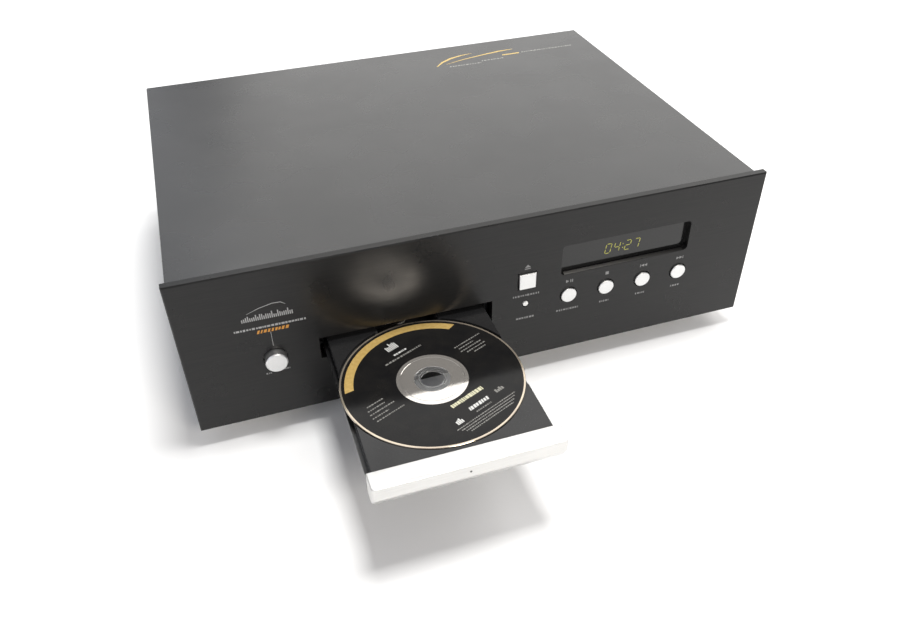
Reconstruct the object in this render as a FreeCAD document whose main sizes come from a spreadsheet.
import FreeCAD, Part

import math
import os
from types import SimpleNamespace

import Sketcher
from FreeCAD import Placement, Rotation, Vector

# A full-width CD player with a front-loading tray and a valve output stage.
# Working axes: X to the right seen from the front, Y to the back from the panel's front face,
# Z up from the panel's bottom edge. settle() moves every piece into the frame whose origin
# is on the floor, under the middle of the player with its tray open.

DIMENSIONS = (
    # casing
    ("panel_width", 425.0), ("panel_height", 123.5), ("panel_thick", 5.5), ("panel_edge", 0.8),
    ("cover_width", 420.5), ("cover_top", 119.8), ("cover_bottom", 1.0), ("sheet_thick", 1.6),
    ("cover_bend", 1.2), ("case_depth", 324.0), ("pan_bottom", 2.0), ("pan_width", 416.6),
    ("flange_height", 18.0), ("side_flange_height", 15.0), ("rear_top", 117.9),
    ("vent_pitch", 9.0), ("vent_width", 4.0), ("vent_length", 60.0), ("vent_front", 195.0),
    ("vent_count", 9), ("left_vent_x", -182.0), ("right_vent_x", 55.0),
    # fasteners
    ("screw_radius", 1.5), ("screw_hole", 1.6), ("screw_head", 3.0), ("screw_head_thick", 1.8),
    ("screw_length", 5.6), ("side_screw_z", 10.0), ("end_screw_z", 12.0),
    ("socket_radius", 1.3), ("socket_depth", 1.1), ("head_clearance", 1.0), ("strip_clearance", 0.5),
    # feet
    ("foot_height", 15.0), ("foot_radius", 20.0), ("foot_x", 168.0), ("foot_front", 46.0),
    ("foot_rear", 286.0), ("foot_lip", 1.5), ("pad_radius", 15.0), ("pad_bore", 6.0),
    ("pad_thick", 3.0), ("foot_bore", 2.2), ("foot_counterbore", 5.0), ("foot_web", 9.0),
    ("foot_screw_head", 4.0), ("foot_screw_radius", 2.0), ("foot_nut_radius", 3.6), ("foot_nut_thick", 3.0),
    # panel openings
    ("slot_x", -60.4), ("slot_width", 124.6), ("slot_bottom", 42.1), ("slot_top", 59.8),
    ("window_x", 105.2), ("window_z", 82.0), ("window_width", 102.0), ("window_height", 25.0),
    ("window_corner", 3.0),
    ("rebate_edge", 4.0), ("rebate_depth", 1.0), ("lens_gap", 0.2), ("lens_thick", 2.8),
    # buttons
    ("row_z", 51.0), ("first_x", 61.5), ("button_pitch", 30.0), ("button_radius", 6.0),
    ("button_gap", 0.8), ("button_out", 1.5), ("button_bevel", 0.4), ("flange_gap", 0.3),
    ("flange_thick", 1.0), ("flange_edge", 1.9), ("stem_radius", 2.5), ("stem_end", 16.6),
    ("open_x", 28.1), ("open_z", 71.5), ("open_size", 12.8),
    ("power_x", -153.0), ("power_radius", 7.5), ("power_out", 6.0), ("power_bevel", 0.7),
    ("power_stem", 4.0), ("power_stem_end", 27.0),
    ("remote_x", 27.7), ("remote_radius", 2.0), ("remote_gap", 0.6), ("remote_out", 0.3),
    ("remote_flange", 4.0),
    # control bracket and board
    ("bracket_y", 12.0), ("bracket_thick", 1.2), ("bracket_width", 410.0), ("bracket_top", 117.0),
    ("bracket_bottom", 5.0), ("bracket_margin", 4.0), ("stem_hole", 4.0), ("board_y", 22.0),
    ("board_thick", 1.6), ("board_left", 14.0), ("board_right", 172.0), ("board_low", 42.0),
    ("board_high", 106.0), ("stud_radius", 2.5), ("stud_inset", 6.0),
    ("tact_size", 6.0), ("tact_y", 18.6), ("tact_nub", 1.7), ("tact_nub_y", 17.9),
    ("display_y", 9.5), ("display_edge", 2.0),
    ("display_glass", 4.0), ("tube_width", 96.0), ("tube_height", 21.0),
    ("sensor_width", 6.0), ("sensor_y", 15.5), ("sensor_radius", 2.2), ("sensor_nose", 1.5),
    ("switch_front", 30.0), ("switch_rear", 56.0), ("switch_width", 20.0), ("switch_height", 18.0),
    ("switch_wing", 1.5), ("terminal_length", 7.0), ("terminal_width", 4.0), ("terminal_thick", 0.8),
    # disc and tray
    ("tray_x", -60.5), ("disc_open_y", -58.0), ("tray_stroke", 134.0), ("disc_radius", 60.0),
    ("disc_hole", 7.5), ("disc_thick", 1.2), ("disc_bottom", 53.8), ("disc_edge", 0.2),
    ("tray_width", 113.0), ("tray_edge", 0.5), ("tray_top", 55.5), ("tray_bottom", 45.5),
    ("tray_front_y", -124.3),
    ("tray_rear_y", 36.0), ("tray_wall", 2.0), ("tray_skin", 50.5), ("recess_radius", 61.5),
    ("recess_floor", 53.5), ("small_recess_radius", 40.5), ("small_recess_floor", 52.2),
    ("tray_window_width", 44.0), ("tray_window_rear", 70.0), ("rail_width", 118.0), ("rail_top", 48.5),
    ("bar_width", 119.5), ("bar_front_y", -138.0), ("bar_top", 58.4), ("bar_bottom", 43.0),
    ("bar_bevel_height", 6.0), ("bar_bevel_depth", 3.4), ("bar_corner", 2.6), ("bar_edge", 0.7),
    # tray drive
    ("tooth_module", 1.25), ("tooth_number", 16), ("rack_left", -112.0), ("pitch_line_x", -108.5),
    ("rack_front_y", -114.0), ("rack_bottom", 42.6), ("gear_y", 28.0), ("gear_bottom", 42.6),
    ("gear_top", 45.1), ("gear_bore", 1.55), ("axle_radius", 1.5), ("pulley_radius", 13.5),
    ("pulley_bottom", 37.6), ("pulley_top", 41.4), ("groove_depth", 1.5), ("groove_edge", 0.8),
    ("motor_x", -60.5), ("motor_radius", 10.5), ("motor_bottom", 15.0), ("small_pulley_radius", 4.6),
    ("motor_bevel", 1.0), ("motor_boss_gap", 0.2),
    ("shaft_radius", 1.0), ("shaft_bore", 1.05), ("belt_gap", 0.3), ("belt_thick", 1.0),
    ("belt_low", 38.9), ("belt_high", 40.1),
    # loader frame
    ("frame_left", -124.5), ("frame_right", 3.5), ("frame_front", 14.0), ("frame_rear", 178.0),
    ("frame_bottom", 12.0), ("frame_floor", 2.5), ("frame_wall", 3.0), ("frame_top", 59.5),
    ("lip_thick", 2.0), ("rail_gap", 0.3), ("frame_back_top", 40.0),
    ("deck_rear", 42.0), ("deck_bottom", 33.0), ("deck_top", 35.5), ("deck_shaft_hole", 2.0),
    ("floor_hole_left", -100.0), ("floor_hole_right", -22.0), ("floor_hole_front", 62.0),
    ("floor_hole_rear", 134.0), ("post_thick", 4.0), ("post_top", 41.5), ("post_depth", 10.0),
    ("ear_size", 14.0), ("ear_front", 22.0), ("ear_rear", 158.0), ("grommet_radius", 5.5),
    ("grommet_bore", 1.6), ("guide_height", 7.0),
    ("guide_thick", 1.2), ("guide_inset", 4.0), ("guide_length", 10.0),
    # clamp
    ("bridge_front", 60.0), ("bridge_rear", 92.0), ("bridge_thick", 1.2), ("bridge_hole", 9.5),
    ("bridge_rib", 4.0), ("puck_bottom", 56.2), ("puck_rim", 58.4), ("puck_neck_top", 61.9),
    ("puck_top", 63.6), ("puck_radius", 15.0), ("puck_neck", 8.0), ("puck_flange", 12.0),
    ("puck_dish", 6.0),
    # laser unit, drawn level and then lowered about its rear pivot
    ("base_left", -105.0), ("base_right", -16.0), ("base_front", 48.0), ("base_rear", 153.0),
    ("base_bottom", 36.0), ("base_top", 38.5), ("pivot_y", 150.0), ("pivot_z", 37.25),
    ("pivot_radius", 2.0), ("pivot_bore", 2.05), ("pivot_length", 4.5), ("base_drop_angle", 8.0),
    ("base_gap", 1.0), ("cam_pin_radius", 1.5), ("cam_pin_length", 5.8),
    ("sled_hole_left", -86.0), ("sled_hole_right", -35.0), ("sled_hole_front", 93.0),
    ("sled_hole_rear", 145.0), ("spindle_hole", 4.4), ("tab_left", -113.0), ("tab_front", 100.0),
    ("tab_rear", 124.0), ("rod_radius", 1.5), ("rod_bore", 1.55), ("rod_slack_bore", 1.85),
    ("rod_left", -88.0), ("rod_right", -33.0), ("rod_z", 41.2), ("rod_front", 86.5),
    ("rod_rear", 149.0), ("holder_width", 5.6), ("holder_depth", 3.0), ("holder_top", 43.6),
    ("spindle_can_radius", 12.5), ("spindle_can_bottom", 30.0), ("spindle_boss", 4.0),
    ("spindle_boss_top", 42.0), ("spindle_top", 50.0), ("platter_radius", 15.0),
    ("platter_top", 53.5), ("platter_thick", 2.0), ("hub_bottom", 43.0), ("hub_radius", 5.0),
    ("cone_base", 7.1), ("cone_tip", 5.6), ("cone_top", 55.7), ("spindle_cap", 51.0),
    ("sled_left", -91.5), ("sled_right", -29.8), ("sled_front", 90.0), ("sled_rear", 108.0),
    ("sled_bottom", 38.9), ("sled_top", 44.8), ("sled_tooth_module", 1.0),
    ("sled_tooth_number", 16), ("sled_gear_x", -103.5), ("sled_gear_y", 112.0),
    ("sled_gear_bottom", 39.3), ("sled_gear_top", 41.8), ("sled_rack_front", 75.0),
    ("sled_rack_rear", 117.0), ("head_size", 14.0), ("head_top", 50.0), ("lens_radius", 2.6),
    ("lens_top", 51.2), ("lens_seat", 49.0), ("lens_play", 0.3), ("lens_lift", 0.6),
    ("sled_motor_radius", 7.0), ("sled_motor_bottom", 23.0),
    ("sled_shaft", 0.75), ("sled_shaft_bore", 0.8), ("sled_shaft_hole", 3.0),
    # lift cam
    ("cam_front", 43.0), ("cam_thick", 2.0), ("cam_left", -90.0), ("cam_right", -20.0),
    ("cam_bottom", 15.0), ("cam_top", 41.0), ("cam_stroke", 22.0), ("cam_clearance", 1.0),
    # electronics
    ("post_radius", 2.5), ("main_left", 22.0), ("main_right", 203.0), ("main_front", 50.0),
    ("main_rear", 312.0), ("pcb_low", 10.0), ("supply_left", -203.0), ("supply_right", 12.0),
    ("supply_front", 190.0), ("supply_rear", 312.0), ("hole_inset", 7.0),
    ("toroid_x", -166.0), ("toroid_y", 112.0), ("toroid_radius", 38.0), ("toroid_bore", 14.0),
    ("toroid_low", 5.6), ("toroid_high", 46.0), ("toroid_round", 8.0), ("dish_radius", 27.0),
    ("dish_thick", 1.5), ("bolt_radius", 3.0),
    ("bolt_head", 6.0), ("bolt_head_thick", 4.0), ("clamp_pad_inset", 2.0),
    ("big_cap_radius", 11.0), ("big_cap_height", 36.0), ("big_cap_x", -60.0), ("big_cap_y", 235.0),
    ("big_cap_pitch", 27.0), ("small_cap_radius", 6.5), ("small_cap_height", 16.0),
    ("small_cap_x", 48.0), ("small_cap_y", 200.0), ("small_cap_pitch", 22.0), ("cap_score", 0.6),
    ("sink_x", -150.0), ("sink_y", 250.0), ("sink_length", 64.0), ("sink_depth", 24.0),
    ("sink_height", 38.0), ("sink_base", 3.0), ("fin_thick", 1.5), ("fin_count", 9),
    ("chip_width", 16.0), ("chip_length", 28.0), ("chip_height", 4.0), ("chip_x", 70.0),
    ("chip_y", 90.0), ("chip_pitch_x", 46.0), ("chip_pitch_y", 52.0), ("chip_notch", 1.0),
    ("valve_x", 80.0), ("valve_pitch", 52.0), ("valve_y", 258.0), ("valve_radius", 11.0),
    ("valve_top", 74.0), ("valve_seat", 22.0), ("valve_tip", 2.0), ("valve_flare", 2.0), ("valve_nib", 4.0),
    ("socket_outer", 13.0),
    ("socket_bore", 9.0), ("socket_cup", 19.0), ("pin_circle", 6.0), ("pin_radius", 0.5),
    ("pin_depth", 2.6), ("pin_count", 9),
    # sockets on the rear panel
    ("inlet_x", -165.0), ("inlet_z", 42.0), ("inlet_width", 27.0), ("inlet_height", 20.0),
    ("inlet_depth", 22.0), ("inlet_flange_width", 34.0), ("inlet_flange_height", 27.0),
    ("inlet_flange_thick", 2.5), ("cavity_width", 24.4), ("cavity_height", 16.6),
    ("cavity_depth", 16.0), ("blade_width", 2.0), ("blade_height", 4.0), ("blade_length", 10.8),
    ("blade_spread", 7.0), ("blade_rise", 2.0), ("blade_drop", -2.5),
    ("jack_radius", 4.15), ("jack_out", 12.0), ("jack_flange", 7.0), ("jack_flange_thick", 2.0),
    ("jack_bush", 5.0), ("jack_hole", 5.1), ("jack_bore", 1.7), ("jack_bore_depth", 8.0),
    ("jack_nut", 6.5), ("jack_nut_thick", 2.4), ("jack_tail", 3.0), ("jack_tail_length", 12.0),
    ("jack_x", 150.0), ("jack_high", 80.0), ("jack_low", 54.0), ("digital_x", 104.0),
    ("digital_z", 67.0),
)

CYLINDER_AXIS = {
    "x": Rotation(Vector(0, 1, 0), 90),
    "y": Rotation(Vector(1, 0, 0), -90),
    "z": Rotation(),
}
FACING_FRONT = Rotation(Vector(1, 0, 0), 90)
FACING_REAR = Rotation(Vector(1, 0, 0), -90)

# A point closer than this to a plane lies on it.
TOUCH = 1e-6

# Gear teeth, in modules: backlash taken off each flank, and the rack tooth's depth and height.
PRESSURE_ANGLE = math.radians(20)
BACKLASH = 0.12
ROOT_DEPTH = 1.2
TIP_HEIGHT = 0.9
# A gear tooth's corners: distance from the pitch circle and change of half width.
TOOTH_FLANK = ((-1.4, 0.40), (0.0, 0.0), (0.55, -0.26), (TIP_HEIGHT, -0.50))
# The least bare length at each end of a rack, in pitches.
END_GAP = 0.2
# How far a rack tooth's root is sunk into its bar, in millimetres.
TOOTH_SINK = 0.2

# Where screws stand along an edge, as shares of its length.
SIDE_SCREW_SHARES = (0.16, 0.52, 0.88)
PANEL_SCREW_SHARES = (-0.42, -0.33, 0.15, 0.42)
REAR_SCREW_SHARES = (-0.46, -0.16, 0.16, 0.46)

# Turned crowns and waists, as shares of radius and height.
GROMMET_WAIST = ((1.0, 0.35), (0.7, 0.45), (0.7, 0.55), (1.0, 0.65))
LENS_CROWN = ((1.0, 0.6), (0.8, 0.8), (0.4, 1.0))
VALVE_CROWN = ((1.0, 1.0), (0.92, 0.6), (0.65, 0.25))

doc = FreeCAD.newDocument("cd_player")
pieces = []


class Size:
    """A number in millimetres together with the spreadsheet expression that gives it."""

    def __init__(self, value, text):
        self.value = float(value)
        self.text = text

    def joined(self, sign, other, value):
        return Size(value, f"({self.text} {sign} {size(other).text})")

    def __add__(self, other):
        return self.joined("+", other, self.value + size(other).value)

    def __sub__(self, other):
        return self.joined("-", other, self.value - size(other).value)

    def __mul__(self, other):
        return self.joined("*", other, self.value * size(other).value)

    def __truediv__(self, other):
        return self.joined("/", other, self.value / size(other).value)

    def __radd__(self, other):
        return size(other) + self

    def __rsub__(self, other):
        return size(other) - self

    def __rmul__(self, other):
        return size(other) * self

    def __neg__(self):
        return Size(-self.value, f"(0 - {self.text})")


def size(value):
    """Any number as a Size, so that plain numbers and sheet cells mix."""
    if isinstance(value, Size):
        return value
    return Size(value, repr(round(float(value), 6)))


def write_sheet():
    """Fill the spreadsheet and return its cells as Sizes, by alias."""
    sheet = doc.addObject("Spreadsheet::Sheet", "Dimensions")
    cells = {}
    for row, (alias, value) in enumerate(DIMENSIONS, start=1):
        sheet.set(f"A{row}", alias)
        sheet.set(f"B{row}", str(value))
        sheet.setAlias(f"B{row}", alias)
        cells[alias] = Size(value, f"Dimensions.{alias}")
    doc.recompute()
    return SimpleNamespace(**cells)


d = write_sheet()
front_y = (d.jack_out + d.case_depth + d.bar_front_y) / -2
tray_left = d.tray_x - d.tray_width / 2
tray_right = d.tray_x + d.tray_width / 2
play_y = d.disc_open_y + d.tray_stroke
pan_top = d.pan_bottom + d.sheet_thick
pcb_top = d.pcb_low + d.board_thick
rear_inner = d.case_depth - d.sheet_thick
TEETH = int(d.tooth_number.value)
SLED_TEETH = int(d.sled_tooth_number.value)


# ---- helpers: primitives, booleans, sketches ----

def bind(thing, **sizes):
    """Bind properties of an object to spreadsheet expressions."""
    for name, value in sizes.items():
        thing.setExpression(name, size(value).text)
    return thing


def place(thing, x, y, z, turn=Rotation()):
    """Place an object and bind its position to the spreadsheet."""
    spot = [size(v) for v in (x, y, z)]
    thing.Placement = Placement(Vector(*(s.value for s in spot)), turn)
    for letter, s in zip("xyz", spot):
        thing.setExpression(f".Placement.Base.{letter}", s.text)
    return thing


def block(x, y, z):
    """A box between two values along each axis."""
    (x0, x1), (y0, y1), (z0, z1) = [[size(v) for v in pair] for pair in (x, y, z)]
    box = doc.addObject("Part::Box", "block")
    bind(box, Length=x1 - x0, Width=y1 - y0, Height=z1 - z0)
    return place(box, x0, y0, z0)


def rod(radius, start, length, axis="z"):
    """A cylinder from a start point along X, Y or Z."""
    cylinder = doc.addObject("Part::Cylinder", "rod")
    bind(cylinder, Radius=radius, Height=length)
    return place(cylinder, *start, CYLINDER_AXIS[axis])


def fuse(*shapes):
    joined = doc.addObject("Part::MultiFuse", "joined")
    joined.Shapes = list(shapes)
    return joined


def cut(base, *tools):
    result = doc.addObject("Part::Cut", "trimmed")
    result.Base = base
    result.Tool = tools[0] if len(tools) == 1 else fuse(*tools)
    return result


def group(*shapes):
    """Separate solids kept together in one sub-part."""
    bundle = doc.addObject("Part::Compound", "bundle")
    bundle.Links = list(shapes)
    return bundle


def settle(label, piece, x=0, y=0, z=0, turn=Rotation()):
    """Name a sub-part and move it from the working axes into the final frame."""
    piece.Label = label
    place(piece, size(x), front_y + y, d.foot_height + z, turn)
    pieces.append(piece)
    return piece


def lowered(piece):
    """Turn a settled piece of the laser unit down about the unit's rear pivot."""
    for letter in "xyz":
        piece.setExpression(f".Placement.Base.{letter}", None)
    pivot = Vector(0, (front_y + d.pivot_y).value, (d.foot_height + d.pivot_z).value)
    turn = Rotation(Vector(1, 0, 0), d.base_drop_angle.value)
    piece.Placement = Placement(Vector(), turn, pivot) * piece.Placement
    return piece


def new_body(name):
    return doc.addObject("PartDesign::Body", name + "_body")


def new_sketch(body, role, lift=0):
    """A sketch on one of the body's origin planes, lifted along the plane's normal."""
    sketch = body.newObject("Sketcher::SketchObject", "sketch")
    planes = [f for f in body.Origin.OriginFeatures if f.Role == role]
    sketch.AttachmentSupport = (planes[0], [""])
    sketch.MapMode = "FlatFace"
    sketch.setExpression(".AttachmentOffset.Base.z", size(lift).text)
    return sketch


def fix_point(sketch, geometry, point, x, y):
    """Hold one point of a sketch at a position bound to the spreadsheet."""
    for kind, value in (("DistanceX", size(x)), ("DistanceY", size(y))):
        number = sketch.addConstraint(Sketcher.Constraint(kind, -1, 1, geometry, point, value.value))
        sketch.setExpression(f"Constraints[{number}]", value.text)


def polygon(sketch, points):
    """A closed outline of straight lines through bound corners."""
    corners = [(size(x), size(y)) for x, y in points]
    vectors = [Vector(x.value, y.value, 0) for x, y in corners]
    following = vectors[1:] + vectors[:1]
    lines = [sketch.addGeometry(Part.LineSegment(a, b), False) for a, b in zip(vectors, following)]
    for line, after in zip(lines, lines[1:] + lines[:1]):
        sketch.addConstraint(Sketcher.Constraint("Coincident", line, 2, after, 1))
    for line, (x, y) in zip(lines, corners):
        fix_point(sketch, line, 1, x, y)


def rectangle(sketch, x, y):
    polygon(sketch, [(x[0], y[0]), (x[1], y[0]), (x[1], y[1]), (x[0], y[1])])


def centred(middle, width):
    """The two ends of a width about a middle."""
    return middle - width / 2, middle + width / 2


def circle(sketch, x, y, radius):
    radius = size(radius)
    centre = Vector(size(x).value, size(y).value, 0)
    ring = sketch.addGeometry(Part.Circle(centre, Vector(0, 0, 1), radius.value), False)
    fix_point(sketch, ring, 3, x, y)
    number = sketch.addConstraint(Sketcher.Constraint("Radius", ring, radius.value))
    sketch.setExpression(f"Constraints[{number}]", radius.text)


def pad(body, sketch, length, backwards=False, both_ways=False):
    feature = body.newObject("PartDesign::Pad", "pad")
    feature.Profile = sketch
    feature.Reversed = backwards
    feature.Midplane = both_ways
    bind(feature, Length=length)
    doc.recompute()
    return feature


def pocket(body, sketch, length, backwards=False, both_ways=False):
    """Cut a sketch into the body and make sure that the cut removed something."""
    before = body.Shape.Volume
    feature = body.newObject("PartDesign::Pocket", "pocket")
    feature.Profile = sketch
    feature.Reversed = backwards
    feature.Midplane = both_ways
    bind(feature, Length=length)
    doc.recompute()
    if body.Shape.Volume >= before:
        raise RuntimeError(f"{body.Name}: a pocket cut nothing")
    return feature


def on(value, *levels):
    """Whether a coordinate lies on one of the given levels."""
    return any(abs(value - level) < TOUCH for level in levels)


def edges_where(feature, wanted):
    """Names of the feature's edges whose middle point passes the test."""
    names = []
    for number, edge in enumerate(feature.Shape.Edges, start=1):
        middle = edge.valueAt((edge.FirstParameter + edge.LastParameter) / 2)
        if wanted(edge, middle):
            names.append(f"Edge{number}")
    return names


def dress(body, kind, feature, edges, amount):
    """Chamfer or fillet the named edges."""
    dressed = body.newObject(f"PartDesign::{kind}", "dressed")
    dressed.Base = (feature, edges)
    bind(dressed, **{"Radius" if kind == "Fillet" else "Size": amount})
    doc.recompute()
    return dressed


def turned(name, profile):
    """A body of revolution about its own Z from (radius, height) corners."""
    body = new_body(name)
    sketch = new_sketch(body, "XZ_Plane")
    polygon(sketch, profile)
    revolution = body.newObject("PartDesign::Revolution", "revolution")
    revolution.Profile = sketch
    revolution.ReferenceAxis = (sketch, ["V_Axis"])
    revolution.Angle = 360
    doc.recompute()
    return body


def half_tooth(module):
    """Half a tooth's width at the pitch line."""
    return (math.pi / 4 - BACKLASH) * module.value


def tooth_outline(module, outward):
    """Half widths of a slim rack tooth at its root and tip, with backlash taken off."""
    half = half_tooth(module)
    lean = math.tan(PRESSURE_ANGLE) * module.value
    return [
        (-outward * module * ROOT_DEPTH, half + lean * ROOT_DEPTH),
        (outward * module * TIP_HEIGHT, half - lean * TIP_HEIGHT),
    ]


def gear_teeth(body, axis_sketch, module, count, bottom, length):
    """One tooth on the body's hub, repeated round the axis."""
    pitch_radius = module * count / 2
    outline = [(pitch_radius + module * out, half_tooth(module) + wider * module.value)
               for out, wider in TOOTH_FLANK]
    sketch = new_sketch(body, "XY_Plane", bottom)
    polygon(sketch, [(r, -w) for r, w in outline] + [(r, w) for r, w in reversed(outline)])
    tooth = pad(body, sketch, length)
    pattern = body.newObject("PartDesign::PolarPattern", "teeth")
    pattern.Originals = [tooth]
    pattern.Axis = (axis_sketch, ["N_Axis"])
    pattern.Angle = 360
    pattern.Occurrences = count
    body.Tip = pattern
    doc.recompute()
    return pattern


def button_spots():
    """Centre of each round transport button along the row."""
    return [d.first_x + d.button_pitch * number for number in range(4)]


def screw(start, axis, sign=1):
    """A socket-head screw whose head lies outside the start point and whose shank runs along the axis."""
    x, y, z = start
    shift = {"x": (1, 0, 0), "y": (0, 1, 0), "z": (0, 0, 1)}[axis]

    def along(distance):
        return [v + distance * s for v, s in zip((x, y, z), shift)]

    head_start = along(-d.screw_head_thick) if sign > 0 else along(size(0))
    shank_start = along(size(0)) if sign > 0 else along(-d.screw_length)
    socket_start = along(-d.screw_head_thick) if sign > 0 else along(d.screw_head_thick - d.socket_depth)
    head = rod(d.screw_head, head_start, d.screw_head_thick, axis)
    shank = rod(d.screw_radius, shank_start, d.screw_length, axis)
    return cut(fuse(head, shank), rod(d.socket_radius, socket_start, d.socket_depth, axis))


# ---- casing ----

def side_screw_spots():
    return [d.case_depth * share for share in SIDE_SCREW_SHARES]


def end_screw_spots():
    return [d.panel_width * share for share in PANEL_SCREW_SHARES]


def rear_screw_spots():
    return [d.cover_width * share for share in REAR_SCREW_SHARES]


def front_panel():
    body = new_body("front_panel")
    sketch = new_sketch(body, "XZ_Plane")
    rectangle(sketch, centred(size(0), d.panel_width), (0, d.panel_height))
    rectangle(sketch, centred(d.slot_x, d.slot_width), (d.slot_bottom, d.slot_top))
    rectangle(sketch, centred(d.window_x, d.window_width), centred(d.window_z, d.window_height))
    square = d.open_size + 2 * d.button_gap
    rectangle(sketch, centred(d.open_x, square), centred(d.open_z, square))
    for x in button_spots():
        circle(sketch, x, d.row_z, d.button_radius + d.button_gap)
    circle(sketch, d.power_x, d.row_z, d.power_radius + d.button_gap)
    circle(sketch, d.remote_x, d.row_z, d.remote_radius + d.remote_gap)
    plate = pad(body, sketch, d.panel_thick, backwards=True)
    low_x, high_x = centred(d.window_x.value, d.window_width.value)
    low_z, high_z = centred(d.window_z.value, d.window_height.value)
    corners = edges_where(plate, lambda edge, p: on(p.x, low_x, high_x) and on(p.z, low_z, high_z))
    plate = dress(body, "Fillet", plate, corners, d.window_corner)
    half = d.panel_width.value / 2
    outline = edges_where(plate, lambda edge, p: on(p.y, 0) and (
        on(p.x, -half, half) or on(p.z, 0, d.panel_height.value)))
    dress(body, "Chamfer", plate, outline, d.panel_edge)
    rebate = new_sketch(body, "XZ_Plane", -d.panel_thick)
    rectangle(rebate, centred(d.window_x, d.window_width + 2 * d.rebate_edge),
              centred(d.window_z, d.window_height + 2 * d.rebate_edge))
    pocket(body, rebate, d.rebate_depth, backwards=True)
    taps = new_sketch(body, "XZ_Plane", -d.panel_thick)
    for x in end_screw_spots():
        circle(taps, x, d.end_screw_z, d.screw_hole)
    pocket(body, taps, d.screw_length - d.sheet_thick, backwards=True)
    return settle("front_panel", body)


def top_cover():
    body = new_body("top_cover")
    sketch = new_sketch(body, "XZ_Plane", -d.panel_thick)
    half = d.cover_width / 2
    inner = half - d.sheet_thick
    ceiling = d.cover_top - d.sheet_thick
    polygon(sketch, [(-half, d.cover_bottom), (-inner, d.cover_bottom), (-inner, ceiling),
                     (inner, ceiling), (inner, d.cover_bottom), (half, d.cover_bottom),
                     (half, d.cover_top), (-half, d.cover_top)])
    shell = pad(body, sketch, d.case_depth - d.panel_thick, backwards=True)
    bends = edges_where(shell, lambda edge, p: on(p.z, d.cover_top.value)
                        and on(p.x, -half.value, half.value))
    dress(body, "Fillet", shell, bends, d.cover_bend)
    holes = new_sketch(body, "YZ_Plane")
    for y in side_screw_spots():
        circle(holes, y, d.side_screw_z, d.screw_hole)
    pocket(body, holes, d.panel_width, both_ways=True)
    return settle("top_cover", body)


def bottom_pan():
    half = d.pan_width / 2
    across = (-half, half)
    depth = (d.panel_thick, rear_inner)
    plate = block(across, depth, (d.pan_bottom, pan_top))
    end_top = pan_top + d.flange_height
    side_top = pan_top + d.side_flange_height
    front = block(across, (d.panel_thick, d.panel_thick + d.sheet_thick), (d.pan_bottom, end_top))
    rear = block(across, (rear_inner - d.sheet_thick, rear_inner), (d.pan_bottom, end_top))
    left = block((-half, -half + d.sheet_thick), depth, (d.pan_bottom, side_top))
    right = block((half - d.sheet_thick, half), depth, (d.pan_bottom, side_top))
    cuts = [rod(d.screw_hole, (-half, y, d.side_screw_z), d.pan_width, "x") for y in side_screw_spots()]
    cuts += [rod(d.screw_hole, (x, 0, d.end_screw_z), d.foot_front, "y") for x in end_screw_spots()]
    cuts += [rod(d.screw_hole, (x, d.foot_rear, d.end_screw_z), d.foot_front, "y")
             for x in rear_screw_spots()]
    cuts += [rod(d.foot_bore, (x, y, 0), d.foot_height) for x, y in foot_spots()]
    cuts += [rod(d.bolt_radius, (d.toroid_x, d.toroid_y, 0), d.foot_height)]
    for start in (d.left_vent_x, d.right_vent_x):
        for number in range(int(d.vent_count.value)):
            slot_x = start + d.vent_pitch * number
            slot_y = (d.vent_front, d.vent_front + d.vent_length)
            cuts.append(block((slot_x, slot_x + d.vent_width), slot_y, (0, d.foot_height)))
    return settle("bottom_pan", cut(fuse(plate, front, rear, left, right), *cuts))


def rear_panel():
    body = new_body("rear_panel")
    sketch = new_sketch(body, "XZ_Plane", -rear_inner)
    rectangle(sketch, centred(size(0), d.pan_width), (d.pan_bottom, d.rear_top))
    rectangle(sketch, centred(d.inlet_x, d.inlet_width), centred(d.inlet_z, d.inlet_height))
    for x, z in jack_spots().values():
        circle(sketch, x, z, d.jack_hole)
    for x in rear_screw_spots():
        circle(sketch, x, d.end_screw_z, d.screw_hole)
    pad(body, sketch, d.sheet_thick, backwards=True)
    return settle("rear_panel", body)


def foot_spots():
    return [(side * d.foot_x, y) for y in (d.foot_front, d.foot_rear) for side in (-1, 1)]


def feet():
    top = d.foot_height + d.pan_bottom
    profile = [(d.foot_bore, d.foot_web), (d.foot_counterbore, d.foot_web),
               (d.foot_counterbore, d.pad_thick), (d.pad_radius, d.pad_thick),
               (d.pad_radius, d.foot_lip), (d.foot_radius - d.foot_lip, d.foot_lip),
               (d.foot_radius, 2 * d.foot_lip), (d.foot_radius, top - 2 * d.foot_lip),
               (d.foot_radius - d.foot_lip, top), (d.foot_bore, top)]
    names = ("foot_front_left", "foot_front_right", "foot_rear_left", "foot_rear_right")
    for name, (x, y) in zip(names, foot_spots()):
        settle(name, turned(name, profile), x, y, -d.foot_height)


def foot_pads():
    rings = []
    for x, y in foot_spots():
        disc = rod(d.pad_radius, (x, y, -d.foot_height), d.pad_thick)
        rings.append(cut(disc, rod(d.pad_bore, (x, y, -d.foot_height), d.pad_thick)))
    return settle("foot_pads", group(*rings))


def foot_screws():
    screws = []
    web = d.foot_web - d.foot_height
    for x, y in foot_spots():
        head = rod(d.foot_screw_head, (x, y, web - d.foot_nut_thick), d.foot_nut_thick)
        shank = rod(d.foot_screw_radius, (x, y, web), pan_top + d.foot_nut_thick - web)
        nut = rod(d.foot_nut_radius, (x, y, pan_top), d.foot_nut_thick)
        screws.append(fuse(head, shank, nut))
    return settle("foot_screws", group(*screws))


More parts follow.
